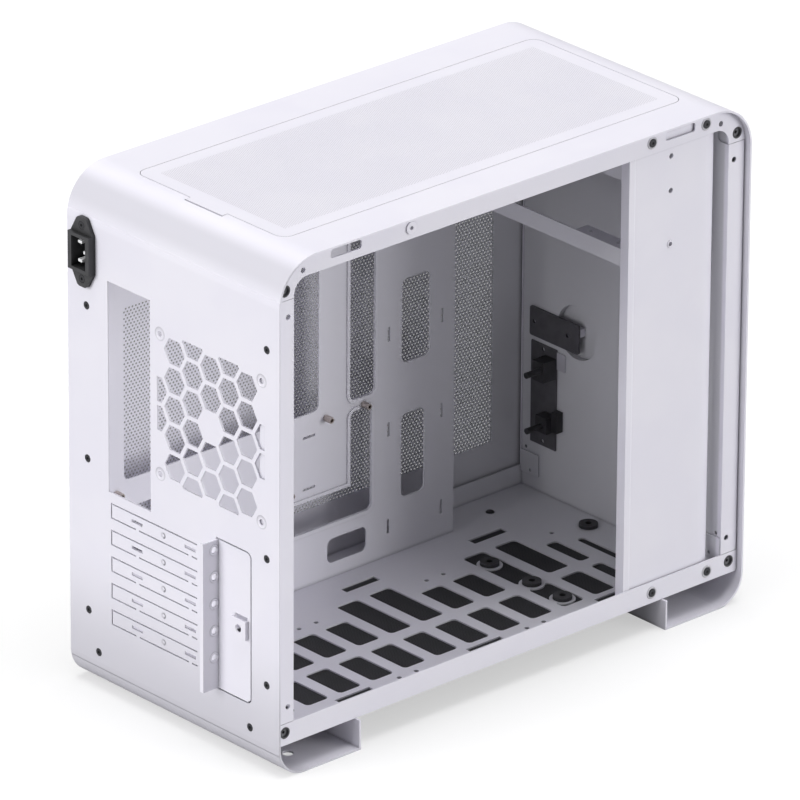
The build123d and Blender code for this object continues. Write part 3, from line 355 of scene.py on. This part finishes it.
def moulded(name, colour, worn, roughness=0.45, grain=0.35, hollow_shade=0.0):
    """Moulded parts: fine grain, and black painted shade in hollows up to the given width in
    millimetres.
    """
    finish = Finish(name)
    place = finish.place()
    spots = finish.noise(place, grain, 4.0)
    broad = finish.rise(finish.noise(place, 9.0), 0.3, 0.7)
    shade = finish.mix(broad, colour, worn)
    if hollow_shade:
        # Painted shade: hollows go black
        shade = finish.mix(finish.crevice_shade(hollow_shade) * 1.8, shade, tone(0.003, 0.003, 0.003))
    return finish.surface(
        Base_Color=shade,
        Roughness=spots * 0.16 + (roughness - 0.08),
        height=spots,
        depth=0.03,
    )


def metal(name, colour, tarnish, roughness, grain):
    """Bright or dark metal with turned marks."""
    finish = Finish(name)
    place = finish.place()
    marks = finish.noise(place, grain, 5.0)
    broad = finish.rise(finish.noise(place, 2.5), 0.3, 0.7)
    return finish.surface(
        Base_Color=finish.mix(broad, colour, tarnish),
        Metallic=1.0,
        Roughness=marks * 0.2 + (roughness - 0.1),
        height=marks,
        depth=0.02,
    )


def screw_steel(name, axis, face):
    """Dark steel heads, with the driver's recess painted black as shade below the face."""
    finish = Finish(name)
    place = finish.place()
    along = dict(zip("xyz", finish.axes(place)))[axis]
    out = (along / face) * abs(face)
    # Painted shade: black inside the recess
    recess_shade = 1 - finish.rise(out, abs(face) - 0.3, abs(face) - 0.1)
    marks = finish.noise(place, 0.3, 4.0)
    return finish.surface(
        Base_Color=finish.mix(recess_shade, tone(0.11, 0.11, 0.12), tone(0.006, 0.006, 0.007)),
        Metallic=1 - recess_shade,
        Roughness=marks * 0.16 + 0.24,
        height=marks,
        depth=0.02,
    )


def snap_socket(name):
    """Moulded sockets: a dark outer lip, a grey cup, and a black middle that is painted shade in
    the hole.
    """
    finish = Finish(name)
    place = finish.place()
    x, y, z = finish.axes(place)
    away = distance(
        (y - MIDDLE_Y).math("ABSOLUTE") - SOCKET_HALF_Y,
        (z - SOCKET_MIDDLE_Z).math("ABSOLUTE") - SOCKET_HALF_Z,
    )
    lip = finish.rise(away, 2.7, 3.4)
    cup = finish.rise(away, 1.0, 1.5)
    # Painted shade: the hole in the middle goes black
    inner = finish.mix(cup, tone(0.004, 0.004, 0.005), tone(0.2, 0.2, 0.215))
    spots = finish.noise(place, 0.4, 3.0)
    return finish.surface(
        Base_Color=finish.mix(lip, inner, tone(0.07, 0.07, 0.076)),
        Roughness=spots * 0.1 + 0.3,
        height=spots,
        depth=0.03,
    )


def dress(finish, *names):
    """Gives a finish to whole CAD nodes."""
    for name in names:
        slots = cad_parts[name].data.materials
        slots.clear()
        slots.append(finish)


def new_piece(name, mesh, finish):
    """Adds a piece that belongs to the case's frame."""
    mesh.materials.append(finish)
    piece = bpy.data.objects.new(name, mesh)
    bpy.context.scene.collection.objects.link(piece)
    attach(piece, "chassis")
    return piece


def mesh_from(name, points, faces, smooth=False):
    """A mesh from points in millimetres."""
    mesh = bpy.data.meshes.new(name)
    mesh.from_pydata([tuple(c * MM for c in point) for point in points], [], faces)
    mesh.validate()
    mesh.update()
    for polygon in mesh.polygons:
        polygon.use_smooth = smooth
    return mesh


# Right side panel: a shallow pan with a perforated field
PANEL_INNER_X = 105.0
PANEL_OUTER_X = 108.0
PANEL_SHEET = 1.0
PANEL_CORNER_R = 30.8
FIELD_HALF = 178.0
FIELD_LOW_Z = 60.9
FIELD_HIGH_Z = 352.0
FIELD_LIP = 2.5
PERFORATION_PITCH = 3.1
PERFORATION_ROW = 2.45
PERFORATION_HOLE = 0.44


def perforated_sheet(name, x, y0, y1, z0, z1):
    """An upright sheet of hexagonal cells, each with a hexagonal hole."""
    across = PERFORATION_PITCH
    upward = PERFORATION_ROW / (math.sqrt(3) / 2)
    corners = []
    for k in range(6):
        turn = math.radians(60 * k + 30)
        corners.append((math.cos(turn) / math.sqrt(3), math.sin(turn) / math.sqrt(3)))
    index = {}
    points = []
    faces = []

    def point(y, z):
        key = (round(y, 3), round(z, 3))
        if key not in index:
            index[key] = len(points)
            points.append((x, y, z))
        return index[key]

    for row in range(round((z1 - z0) / PERFORATION_ROW)):
        z = z0 + (row + 0.5) * PERFORATION_ROW
        for column in range(round((y1 - y0) / across)):
            y = y0 + (column + 0.25 + 0.5 * (row % 2)) * across
            cell, hole = (
                [point(y + u * across * share, z + v * upward * share) for u, v in corners]
                for share in (1.0, PERFORATION_HOLE)
            )
            for k in range(6):
                after = (k + 1) % 6
                faces.append((cell[k], hole[k], hole[after], cell[after]))
    return mesh_from(name, points, faces)


def corner_loop(x, y0, y1, z0, z1, low_radius, high_radius):
    """An upright outline with nine points round each corner."""
    outline = []
    for k, (y, z) in enumerate(((y1, z0), (y1, z1), (y0, z1), (y0, z0))):
        radius = low_radius if z == z0 else high_radius
        centre_y = y - radius if y == y1 else y + radius
        centre_z = z + radius if z == z0 else z - radius
        for step in range(9):
            turn = math.pi / 2 * (k - 1 + step / 8)
            along, upward = radius * math.cos(turn), radius * math.sin(turn)
            outline.append((x, centre_y + along, centre_z + upward))
    return outline


def panel_outline(x, inset):
    """The side panel's edge, with large corners at the top and the floor's square ones below."""
    low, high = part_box("right_side_panel")
    y0, y1 = low.y / MM + inset, high.y / MM - inset
    z0, z1 = low.z / MM + inset, high.z / MM - inset
    return corner_loop(x, y0, y1, z0, z1, 0.5, PANEL_CORNER_R - inset)


def field_outline(x):
    """The opening behind the perforated field, with as many points as the panel's edge."""
    y0, y1 = MIDDLE_Y - FIELD_HALF + FIELD_LIP, MIDDLE_Y + FIELD_HALF - FIELD_LIP
    return corner_loop(x, y0, y1, FIELD_LOW_Z + FIELD_LIP, FIELD_HIGH_Z - FIELD_LIP, 2.0, 2.0)


def bridged(name, loops, smooth=False):
    """A closed skin through loops of equally many points."""
    count = len(loops[0])
    points = [point for loop in loops for point in loop]
    faces = []
    for row in range(len(loops)):
        following = (row + 1) % len(loops)
        for k in range(count):
            after = (k + 1) % count
            here, there = row * count, following * count
            faces.append((here + k, here + after, there + after, there + k))
    return mesh_from(name, points, faces, smooth)


def side_panel(finish):
    """The panel's folded pan and the perforated sheet in it, in place of the solid panel."""
    loops = [
        panel_outline(PANEL_INNER_X, 0.0),
        panel_outline(PANEL_OUTER_X - 0.4, 0.0),
        panel_outline(PANEL_OUTER_X, 0.4),
        field_outline(PANEL_OUTER_X - 0.3),
        field_outline(PANEL_OUTER_X - PANEL_SHEET),
        panel_outline(PANEL_OUTER_X - PANEL_SHEET, PANEL_SHEET),
        panel_outline(PANEL_INNER_X, PANEL_SHEET),
    ]
    pan = new_piece("side_panel_pan", bridged("side_panel_pan", loops), finish)
    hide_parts("right_side_panel")
    sheet = perforated_sheet(
        "side_panel_perforation",
        PANEL_OUTER_X - PANEL_SHEET + 0.3,
        MIDDLE_Y - FIELD_HALF,
        MIDDLE_Y + FIELD_HALF,
        FIELD_LOW_Z,
        FIELD_HIGH_Z,
    )
    new_piece("side_panel_perforation", sheet, finish)


# Pressed collars: rounded rings on a sheet, round a hole or a screw, and the floor pan's dark
# screw, which also stands as painted shade over its hole
COVER_SHEET_X = -103.0
COVER_RIVET = (-155.7, 294.0)
FLANGE_OUT_X = -47.2
FLANGE_HOLE_Y = 217.1
FLANGE_HOLE_RISE = 10.4
FLOOR_SCREW_SHADE = (81.5, FRONT_Y + 68.3, 23.7)


def collar(name, centre, inner, outer, rise, finish, upright=False):
    """A rounded ring that stands rise millimetres out of a sheet: to the open side, or up."""
    x, y, z = centre
    sides = 32
    width = outer - inner
    loops = []
    for share, out in ((1.0, 0.0), (0.75, rise), (0.2, rise), (0.0, 0.0)):
        radius = inner + share * width
        loop = []
        for k in range(sides):
            turn = 2 * math.pi * k / sides
            along, aside = radius * math.cos(turn), radius * math.sin(turn)
            if upright:
                loop.append((x + aside, y + along, z + out))
            else:
                loop.append((x - out, y + along, z + aside))
        loops.append(loop)
    new_piece(name, bridged(name, loops, True), finish)


def collars(coat_finish, washer_finish, screw_shade_finish):
    """The floor pan's dark screw, painted shade over its hole too, and the rings of the cover's
    rivet, its screws and the slot flange.
    """
    # Painted shade: a dark ring over the floor pan's hole, where a screw sits, so the bright floor
    # does not show through
    collar("floor_screw_shade", FLOOR_SCREW_SHADE, 0.1, 3.3, 1.0, screw_shade_finish, True)
    collar("cover_rivet", (COVER_SHEET_X, *COVER_RIVET), 1.4, 2.8, 0.6, coat_finish)
    for k, (y, z) in enumerate(SIDE_SCREWS):
        name = f"cover_screw_collar_{k + 1}"
        collar(name, (-FRAME_X, y, z), 3.1, 4.7, 0.5, washer_finish)
    for slot in range(SLOT_COUNT):
        place = (FLANGE_OUT_X, FLANGE_HOLE_Y, SLOT_TOP_Z - slot * SLOT_PITCH + FLANGE_HOLE_RISE)
        collar(f"flange_collar_{slot + 1}", place, 2.5, 4.2, 0.5, coat_finish)


# Floor, lamps and camera
def floor():
    """A plain white floor, which looks white to the camera and keeps the case's shadow."""
    finish = Finish("studio_floor")
    seen = finish.node("LightPath").output("Is Camera Ray")
    bounce = tone(FLOOR_BOUNCE, FLOOR_BOUNCE, FLOOR_BOUNCE)
    shown = tone(FLOOR_TONE, FLOOR_TONE, FLOOR_TONE)
    glow = tone(FLOOR_GLOW, FLOOR_GLOW, FLOOR_GLOW)
    material = finish.surface(
        Base_Color=finish.mix(seen, bounce, shown),
        Roughness=0.9,
        Emission_Color=finish.mix(seen, tone(0.0, 0.0, 0.0), glow),
        Emission_Strength=1.0,
    )
    half = FLOOR_HALF
    corners = [(-half, -half, 0), (half, -half, 0), (half, half, 0), (-half, half, 0)]
    plane = mesh_from("studio_floor", corners, [(0, 1, 2, 3)])
    plane.materials.append(material)
    piece = bpy.data.objects.new("studio_floor", plane)
    bpy.context.scene.collection.objects.link(piece)


def room():
    """Even light from all sides, on a background that the camera sees as white."""
    air = Finish("room", world=True)
    bpy.context.scene.world = air.holder
    seen = air.node("LightPath").output("Is Camera Ray")
    white = tone(1.0, 1.0, 1.0)
    light = air.node("Background", sockets={"Color": white, "Strength": ROOM_LIGHT})
    backdrop = air.node("Background", sockets={"Color": white, "Strength": 1.0})
    both = air.node("MixShader", sockets={0: seen, 1: light, 2: backdrop})
    air.node("OutputWorld", sockets={"Surface": both})


def lamp(name, come_from, share):
    """A far soft lamp; a share of 1 shows a colour as bright as it is written."""
    light = bpy.data.lights.new(name, "SUN")
    light.energy = share * math.pi
    light.angle = math.radians(LAMP_SOFTNESS)
    holder = bpy.data.objects.new(name, light)
    holder.rotation_euler = Vector(come_from).to_track_quat("Z", "Y").to_euler()
    bpy.context.scene.collection.objects.link(holder)


def camera():
    """The photograph's view."""
    azimuth, elevation, roll = (math.radians(angle) for angle in (AZIMUTH, ELEVATION, ROLL))
    back = Vector((
        math.sin(azimuth) * math.cos(elevation),
        -math.cos(azimuth) * math.cos(elevation),
        math.sin(elevation),
    ))
    level = Vector((0, 0, 1)).cross(back).normalized()
    upright = back.cross(level)
    right = math.cos(roll) * level + math.sin(roll) * upright
    up = math.cos(roll) * upright - math.sin(roll) * level
    per_pixel = DISTANCE / FOCAL_PIXELS
    aside = (TARGET_PIXEL[0] - IMAGE_SIZE / 2) * per_pixel
    above = (IMAGE_SIZE / 2 - TARGET_PIXEL[1]) * per_pixel
    lens = bpy.data.cameras.new("photo_camera")
    lens.sensor_width = SENSOR_WIDTH
    lens.lens = FOCAL_PIXELS * SENSOR_WIDTH / IMAGE_SIZE
    lens.clip_end = 100.0
    holder = bpy.data.objects.new("photo_camera", lens)
    holder.rotation_euler = Matrix((right, up, back)).transposed().to_euler()
    holder.location = TARGET + back * DISTANCE - right * aside - up * above
    bpy.context.scene.collection.objects.link(holder)
    bpy.context.scene.camera = holder


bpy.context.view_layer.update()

white_coat = coat("white_coat")
# Painted shade: this coat greys the case's inside faces, darker towards the front
inside_shaded_coat = coat("inside_shaded_coat", inside=True)
dress(white_coat, "top_frame", "rear_left_post", "rear_right_post", "front_left_post",
      "front_right_post", "chamber_cover", "top_filter_frame", "slot_bracket")
dress(inside_shaded_coat, "floor_pan", "motherboard_tray", "front_wall", "supply_beam", "supply_top_bar")
dress(coat("shell_coat", shell=True), "outer_shell")
mesh_holes = tone(0.5, 0.49, 0.54)
dress(perforated_coat("top_filter_sheet", 1.7, 0.36, mesh_holes), "top_filter_mesh")
grey_threads = tone(0.2, 0.2, 0.21), tone(0.1, 0.1, 0.105)
grey_cloth = woven_mesh("grey_filter_cloth", 0.9, *grey_threads, "y", "z", lit=True)
dress(grey_cloth, "side_dust_filter")
black_threads = tone(0.03, 0.03, 0.033), tone(0.006, 0.006, 0.007)
dress(woven_mesh("black_filter_cloth", 1.5, *black_threads, "x", "y"), "under_filter_mesh")

satin_black = moulded("satin_black", tone(0.022, 0.022, 0.024), tone(0.034, 0.034, 0.037))
dress(satin_black, "under_filter_frame", "port_module_1", "port_module_2", "port_housing",
      "port_sleeves")
inlet_tones = tone(0.042, 0.042, 0.045), tone(0.055, 0.055, 0.06)
dress(moulded("inlet_black", *inlet_tones, 0.5, hollow_shade=9.0), "inlet_body")
plate_tones = tone(0.075, 0.073, 0.082), tone(0.095, 0.092, 0.102)
dress(moulded("plate_black", *plate_tones), "button_plate", "port_board")
rubber_tones = tone(0.045, 0.045, 0.048), tone(0.06, 0.06, 0.063)
dress(moulded("grommet_rubber", *rubber_tones, 0.7, hollow_shade=5.0), "drive_grommets")
plastic_tones = tone(0.8, 0.79, 0.86), tone(0.78, 0.77, 0.84)
dress(moulded("white_plastic", *plastic_tones, 0.4), "power_button", "power_switch")
cover_tones = tone(0.55, 0.54, 0.59), tone(0.5, 0.49, 0.54)
dress(moulded("cover_grey", *cover_tones, 0.35), "port_cover")
dress(snap_socket("socket_moulding"), "panel_sockets")

dress(screw_steel("rear_screw_steel", "y", REAR_WALL_Y), "rear_screws")
dress(screw_steel("inlet_screw_steel", "y", REAR_WALL_Y + 3.0), "inlet_screws")
dress(screw_steel("cover_screw_steel", "x", -FRAME_X - 0.9), "cover_screws")
# Painted highlight: the inlet's metal blades drawn near white, standing for their glint
blade_highlight_tones = tone(0.95, 0.95, 0.97), tone(0.85, 0.85, 0.87)
dress(moulded("blade_painted_highlight", *blade_highlight_tones, 0.3), "inlet_pins")
brass_tones = tone(0.62, 0.56, 0.53), tone(0.5, 0.44, 0.41)
dress(metal("turned_brass", *brass_tones, 0.4, 0.3), "board_standoffs")

side_panel(inside_shaded_coat)
washer_tones = tone(0.62, 0.61, 0.66), tone(0.5, 0.49, 0.53)
collars(white_coat, moulded("washer_grey", *washer_tones, 0.3), satin_black)

floor()
room()
for lamp_name, come_from, share in LAMPS:
    lamp(lamp_name, come_from, share)
camera()
bpy.context.scene.view_settings.view_transform = "Standard"
